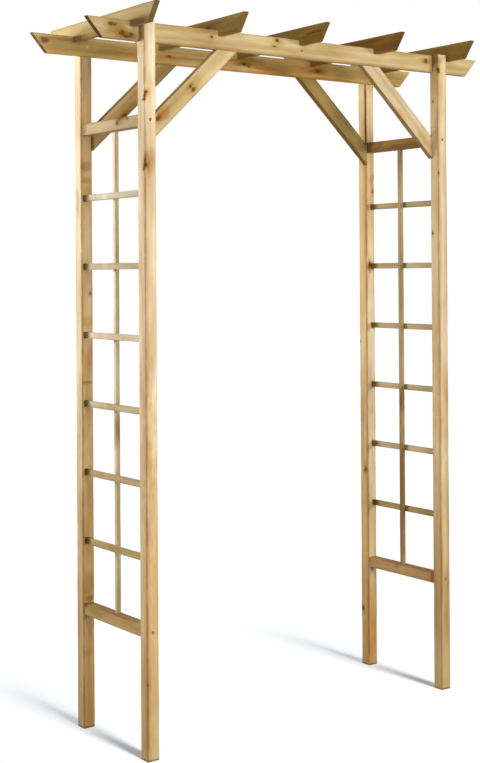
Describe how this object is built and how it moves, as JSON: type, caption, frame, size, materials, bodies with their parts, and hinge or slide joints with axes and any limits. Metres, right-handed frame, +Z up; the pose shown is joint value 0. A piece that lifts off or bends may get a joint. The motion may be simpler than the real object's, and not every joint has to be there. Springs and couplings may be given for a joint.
{
  "type": "garden arch",
  "caption": "Flat-topped softwood garden arch: square posts with ladder trellis sides, long beams with slanted ends, notched rafters and knee braces.",
  "frame": {"origin": "on the ground, midway between the four posts", "axes": "+Z up, +X to the right across the walkway as seen from the front, +Y from the front to the rear"},
  "size_m": [1.494, 0.601, 2.104],
  "materials": {
    "post_timber": "planed pressure-treated pine, knots, eased edges",
    "beam_timber": "planed pressure-treated pine, knots, slight green tint at edges",
    "rafter_timber": "planed pressure-treated pine, slight green tint",
    "brace_timber": "planed pressure-treated pine, knots",
    "rail_timber": "planed pressure-treated pine",
    "lattice_timber": "sawn and planed pine lath",
    "screw_steel": "dull zinc-plated countersunk screws"
  },
  "bodies": {
    "root": {"front_left_post": "post_timber", "rear_left_post": "post_timber", "left_top_rail": "rail_timber", "left_bottom_rail": "rail_timber", "left_slat_1": "lattice_timber", "left_slat_2": "lattice_timber", "left_slat_3": "lattice_timber", "left_slat_4": "lattice_timber", "left_slat_5": "lattice_timber", "left_slat_6": "lattice_timber", "left_lath": "lattice_timber", "front_right_post": "post_timber", "rear_right_post": "post_timber", "right_top_rail": "rail_timber", "right_bottom_rail": "rail_timber", "right_slat_1": "lattice_timber", "right_slat_2": "lattice_timber", "right_slat_3": "lattice_timber", "right_slat_4": "lattice_timber", "right_slat_5": "lattice_timber", "right_slat_6": "lattice_timber", "right_lath": "lattice_timber", "front_beam": "beam_timber", "rear_beam": "beam_timber", "rafter_1": "rafter_timber", "rafter_2": "rafter_timber", "rafter_3": "rafter_timber", "rafter_4": "rafter_timber", "rafter_5": "rafter_timber", "front_left_brace": "brace_timber", "rear_left_brace": "brace_timber", "front_right_brace": "brace_timber", "rear_right_brace": "brace_timber", "front_left_top_rail_screw": "screw_steel", "front_left_bottom_rail_screw": "screw_steel", "front_left_beam_screw": "screw_steel", "front_left_brace_screw": "screw_steel", "rear_left_top_rail_screw": "screw_steel", "rear_left_bottom_rail_screw": "screw_steel", "rear_left_beam_screw": "screw_steel", "rear_left_brace_screw": "screw_steel", "front_right_top_rail_screw": "screw_steel", "front_right_bottom_rail_screw": "screw_steel", "front_right_beam_screw": "screw_steel", "front_right_brace_screw": "screw_steel", "rear_right_top_rail_screw": "screw_steel", "rear_right_bottom_rail_screw": "screw_steel", "rear_right_beam_screw": "screw_steel", "rear_right_brace_screw": "screw_steel", "front_rafter_screw_1": "screw_steel", "rear_rafter_screw_1": "screw_steel", "front_rafter_screw_2": "screw_steel", "rear_rafter_screw_2": "screw_steel", "front_rafter_screw_3": "screw_steel", "rear_rafter_screw_3": "screw_steel", "front_rafter_screw_4": "screw_steel", "rear_rafter_screw_4": "screw_steel", "front_rafter_screw_5": "screw_steel", "rear_rafter_screw_5": "screw_steel"}
  },
  "joints": []
}
